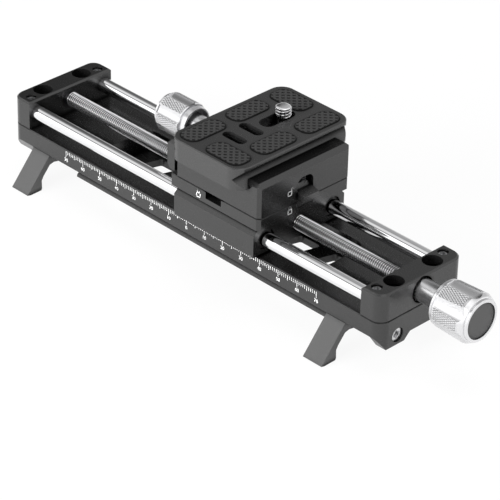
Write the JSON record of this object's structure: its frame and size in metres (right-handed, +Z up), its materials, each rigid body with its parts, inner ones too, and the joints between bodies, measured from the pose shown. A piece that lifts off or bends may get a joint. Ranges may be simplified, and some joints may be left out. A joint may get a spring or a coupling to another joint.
{
  "type": "macro focusing rail",
  "caption": "Motion rail for a camera: a knob-driven lead screw moves a carriage with a turning quick-release clamp along twin rods on a scaled base with folding legs.",
  "frame": {"origin": "mouth of the tripod socket, in the middle of the foot's underside", "axes": "+X along the rail towards the drive knob, +Y away from the side with the scale, +Z up"},
  "size_m": [0.2337, 0.0674, 0.0649],
  "materials": {
    "black_anodised": "satin anodised",
    "leg_finish": "satin anodised",
    "rod_chrome": "polished",
    "screw_steel": "satin",
    "knob_satin": "satin, knurled grips",
    "cap_grey": "satin",
    "bush_polymer": "satin",
    "pad_rubber": "matt, cross-hatched"
  },
  "bodies": {
    "rail": {"base_rail": "black_anodised", "end_block_left": "black_anodised", "end_block_right": "black_anodised", "rod_near": "rod_chrome", "rod_far": "rod_chrome", "block_screws": "screw_steel", "rod_set_screws": "screw_steel", "screw_bearings": "screw_steel", "leg_pivots": "screw_steel", "tripod_bush": "screw_steel"},
    "drive": {"lead_screw": "screw_steel", "drive_knob": "knob_satin", "drive_knob_cap": "cap_grey"},
    "carriage": {"carriage_body": "black_anodised", "rod_bushes": "bush_polymer", "drive_nut": "bush_polymer", "index_plate": "black_anodised", "index_screws": "screw_steel", "turn_pivot": "screw_steel"},
    "clamp": {"clamp_body": "black_anodised", "latch_spring": "screw_steel"},
    "latch": {"latch_lever": "black_anodised"},
    "jaw": {"moving_jaw": "black_anodised", "jaw_pins": "screw_steel"},
    "clamp_drive": {"clamp_screw": "screw_steel", "clamp_knob": "knob_satin", "clamp_knob_cap": "cap_grey"},
    "plate": {"release_plate": "black_anodised", "plate_pads": "pad_rubber"},
    "retainer": {"screw_retainer": "screw_steel"},
    "camera_screw_body": {"camera_screw": "screw_steel"},
    "leg_nl": {"leg_near_left": "leg_finish"},
    "leg_nr": {"leg_near_right": "leg_finish"},
    "leg_fl": {"leg_far_left": "leg_finish"},
    "leg_fr": {"leg_far_right": "leg_finish"}
  },
  "joints": [
    {"name": "screw_spin", "type": "hinge", "parent": "rail", "child": "drive", "pos_m": [0, 0, 0.01845], "axis": [1, 0, 0], "range_deg": [-19085, 31325]},
    {"name": "carriage_slide", "type": "slide", "parent": "rail", "child": "carriage", "axis": [1, 0, 0], "range_m": [-0.087, 0.053]},
    {"name": "clamp_turn", "type": "hinge", "parent": "carriage", "child": "clamp", "pos_m": [0.017, 0, 0.0303], "axis": [0, 0, 1], "continuous": true},
    {"name": "latch_lift", "type": "slide", "parent": "clamp", "child": "latch", "axis": [0, 0, 1], "range_m": [0, 0.003], "stiffness_N_per_m": 400, "springref_m": -0.002, "deforming": ["latch_spring"]},
    {"name": "jaw_slide", "type": "slide", "parent": "clamp", "child": "jaw", "axis": [-1, 0, 0], "range_m": [0, 0.004]},
    {"name": "clamp_knob_spin", "type": "hinge", "parent": "jaw", "child": "clamp_drive", "pos_m": [-0.0209, 0, 0.03695], "axis": [-1, 0, 0], "range_deg": [0, 1805]},
    {"name": "plate_slide", "type": "slide", "parent": "clamp", "child": "plate", "axis": [0, 1, 0], "range_m": [-0.06, 0]},
    {"name": "screw_slot_slide", "type": "slide", "parent": "plate", "child": "retainer", "axis": [0, 1, 0], "range_m": [-0.0082, 0.0016]},
    {"name": "camera_screw_spin", "type": "hinge", "parent": "retainer", "child": "camera_screw_body", "pos_m": [0.0166, 0.0124, 0.043], "axis": [0, 0, 1], "continuous": true},
    {"name": "leg_near_left_fold", "type": "hinge", "parent": "rail", "child": "leg_nl", "pos_m": [0, -0.0123, 0.004], "axis": [1, 0, 0], "range_deg": [0, 138]},
    {"name": "leg_near_right_fold", "type": "hinge", "parent": "rail", "child": "leg_nr", "pos_m": [0, -0.0123, 0.004], "axis": [1, 0, 0], "range_deg": [0, 138]},
    {"name": "leg_far_left_fold", "type": "hinge", "parent": "rail", "child": "leg_fl", "pos_m": [0, 0.0123, 0.004], "axis": [-1, 0, 0], "range_deg": [0, 138]},
    {"name": "leg_far_right_fold", "type": "hinge", "parent": "rail", "child": "leg_fr", "pos_m": [0, 0.0123, 0.004], "axis": [-1, 0, 0], "range_deg": [0, 138]}
  ],
  "couplings": [
    {"joint": "screw_spin", "follows": "carriage_slide", "rad_per_m": -6283.2},
    {"joint": "clamp_knob_spin", "follows": "jaw_slide", "rad_per_m": 7854}
  ]
}
